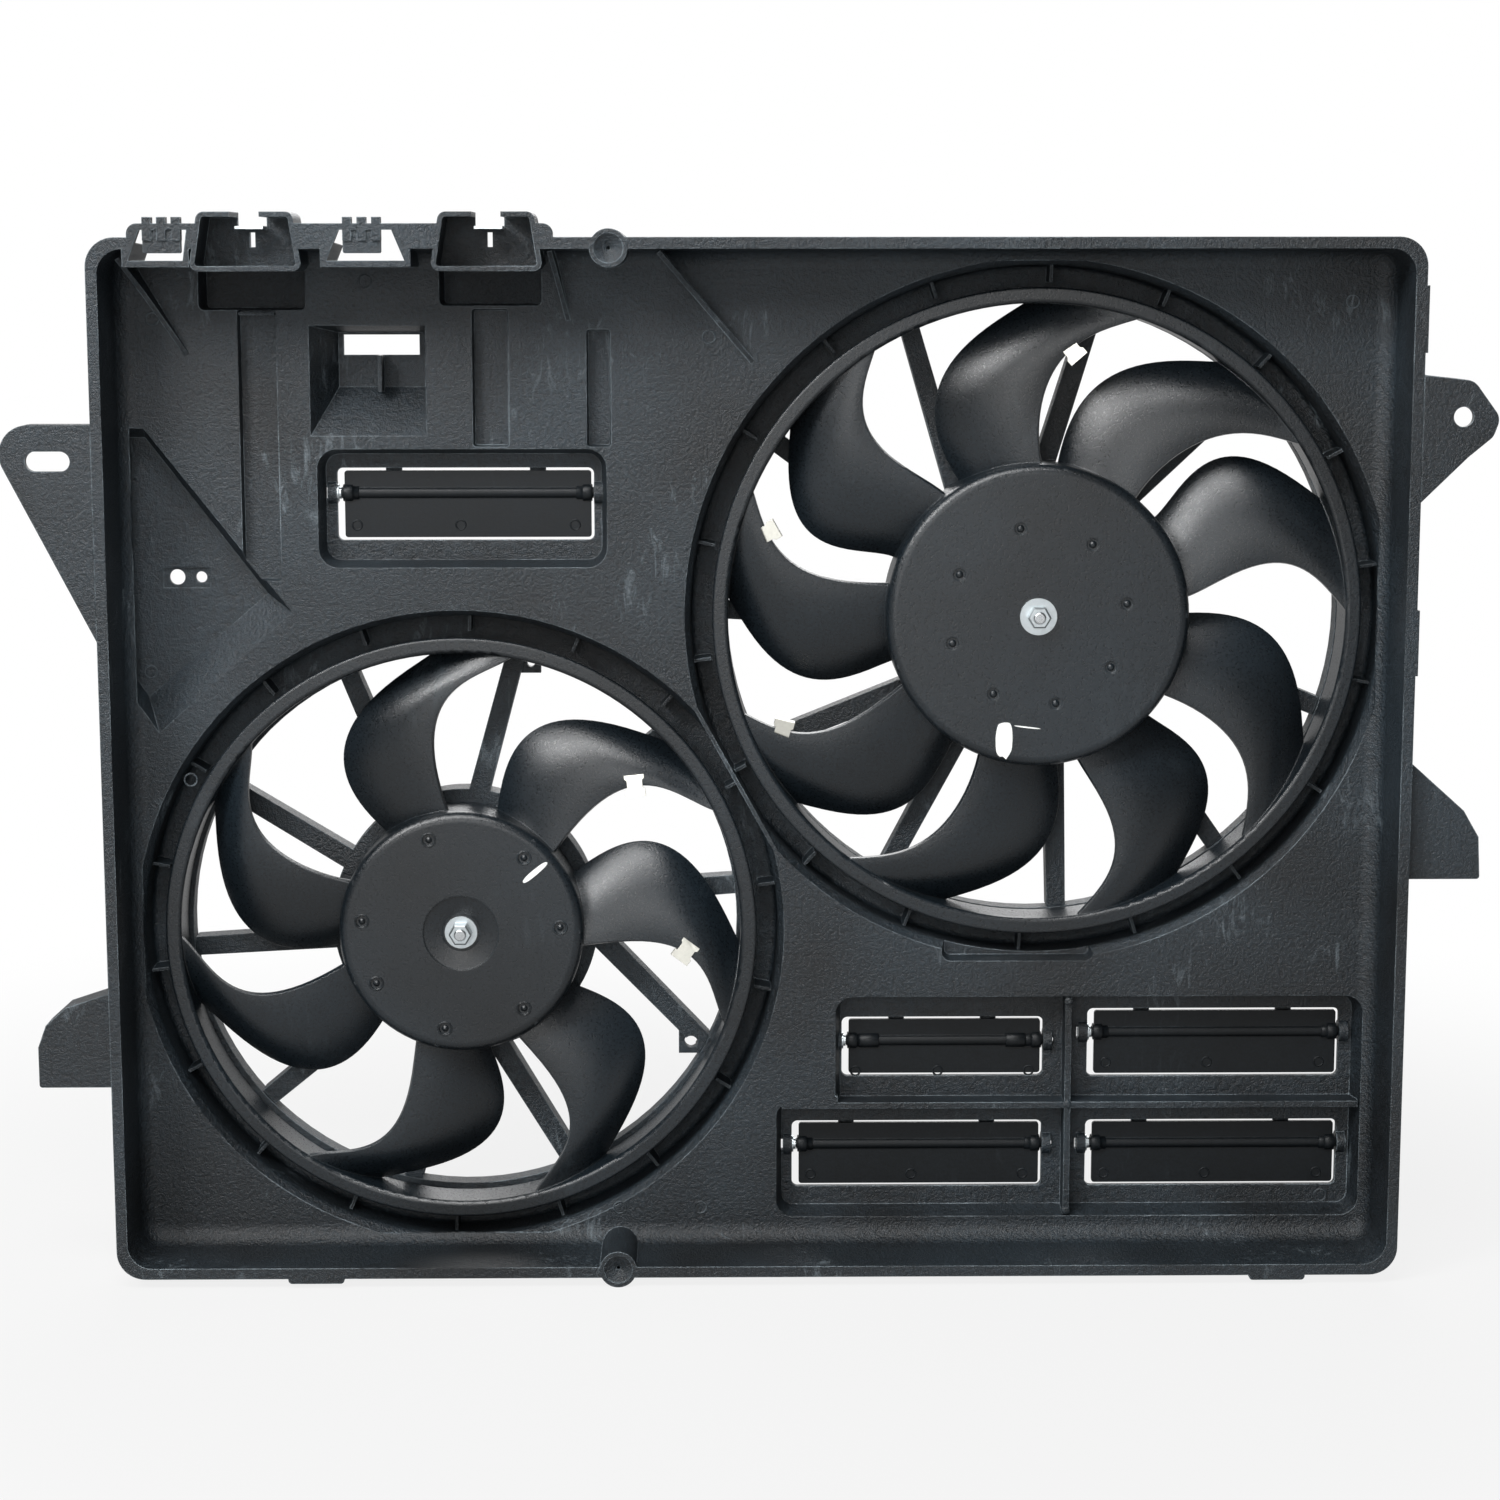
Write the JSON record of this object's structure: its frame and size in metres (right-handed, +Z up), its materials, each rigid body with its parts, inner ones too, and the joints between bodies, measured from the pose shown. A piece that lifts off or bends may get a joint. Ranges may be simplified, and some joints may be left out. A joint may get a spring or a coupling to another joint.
{
  "type": "radiator cooling fan",
  "caption": "Twin electric radiator cooling fan: moulded shroud tray with ring fans on brushed motors, ram-air flaps and mounting ears.",
  "frame": {"origin": "centre of the whole assembly's bounding box", "axes": "+X to the right as seen from the radiator, +Y through the fans towards the engine, +Z up"},
  "size_m": [0.7195, 0.112, 0.53],
  "materials": {
    "shroud_plastic": "fine-grained glass-filled polyamide",
    "fan_plastic": "smooth satin moulding",
    "flap_plastic": "thin satin moulding",
    "zinc_steel": "bright zinc plate",
    "spring_steel": "rolled spring strip",
    "shaft_steel": "ground",
    "bearing_steel": "polished",
    "can_steel": "black electrocoat",
    "cap_plastic": "moulded",
    "core_steel": "stacked steel sheets",
    "winding_copper": "enamelled copper wire",
    "commutator_copper": "turned copper bars",
    "magnet_ferrite": "sintered ferrite",
    "brush_carbon": "pressed carbon",
    "card_plastic": "phenolic sheet",
    "terminal_brass": "stamped strip"
  },
  "bodies": {
    "housing": {"shroud": "shroud_plastic", "left_ear": "shroud_plastic", "right_ear": "shroud_plastic", "left_tab": "shroud_plastic", "right_tab": "shroud_plastic", "left_motor_carrier": "shroud_plastic", "right_motor_carrier": "shroud_plastic", "flap_bushes": "zinc_steel", "clip_nuts": "zinc_steel", "left_motor_can": "can_steel", "left_magnets": "magnet_ferrite", "left_front_bearing": "bearing_steel", "left_rear_bearing": "bearing_steel", "left_brush_card": "card_plastic", "left_brushes": "brush_carbon", "left_end_cap": "cap_plastic", "left_terminals": "terminal_brass", "left_motor_screws": "zinc_steel", "right_motor_can": "can_steel", "right_magnets": "magnet_ferrite", "right_front_bearing": "bearing_steel", "right_rear_bearing": "bearing_steel", "right_brush_card": "card_plastic", "right_brushes": "brush_carbon", "right_end_cap": "cap_plastic", "right_terminals": "terminal_brass", "right_motor_screws": "zinc_steel"},
    "left_rotor": {"left_fan": "fan_plastic", "left_balance_clips": "spring_steel", "left_shaft": "shaft_steel", "left_fan_nut": "zinc_steel", "left_armature": "core_steel", "left_windings": "winding_copper", "left_commutator": "commutator_copper"},
    "right_rotor": {"right_fan": "fan_plastic", "right_balance_clips": "spring_steel", "right_shaft": "shaft_steel", "right_fan_nut": "zinc_steel", "right_armature": "core_steel", "right_windings": "winding_copper", "right_commutator": "commutator_copper", "right_fan_washer": "zinc_steel"},
    "flap_top_body": {"flap_top": "flap_plastic"},
    "flap_upper_inner_body": {"flap_upper_inner": "flap_plastic"},
    "flap_upper_outer_body": {"flap_upper_outer": "flap_plastic"},
    "flap_lower_inner_body": {"flap_lower_inner": "flap_plastic"},
    "flap_lower_outer_body": {"flap_lower_outer": "flap_plastic"}
  },
  "joints": [
    {"name": "left_fan_spin", "type": "hinge", "parent": "housing", "child": "left_rotor", "pos_m": [-0.1456, 0, -0.0922], "axis": [0, 1, 0], "continuous": true},
    {"name": "right_fan_spin", "type": "hinge", "parent": "housing", "child": "right_rotor", "pos_m": [0.1429, 0, 0.0675], "axis": [0, 1, 0], "continuous": true},
    {"name": "flap_top_swing", "type": "hinge", "parent": "housing", "child": "flap_top_body", "pos_m": [-0.1412, 0.0005, 0.1279], "axis": [1, 0, 0], "range_deg": [0, 70]},
    {"name": "flap_upper_inner_swing", "type": "hinge", "parent": "housing", "child": "flap_upper_inner_body", "pos_m": [0.0984, 0.0005, -0.1526], "axis": [1, 0, 0], "range_deg": [0, 70]},
    {"name": "flap_upper_outer_swing", "type": "hinge", "parent": "housing", "child": "flap_upper_outer_body", "pos_m": [0.237, 0.0005, -0.1485], "axis": [1, 0, 0], "range_deg": [0, 70]},
    {"name": "flap_lower_inner_swing", "type": "hinge", "parent": "housing", "child": "flap_lower_inner_body", "pos_m": [0.0856, 0.0005, -0.2071], "axis": [1, 0, 0], "range_deg": [0, 70]},
    {"name": "flap_lower_outer_swing", "type": "hinge", "parent": "housing", "child": "flap_lower_outer_body", "pos_m": [0.237, 0.0005, -0.2071], "axis": [1, 0, 0], "range_deg": [0, 70]}
  ]
}
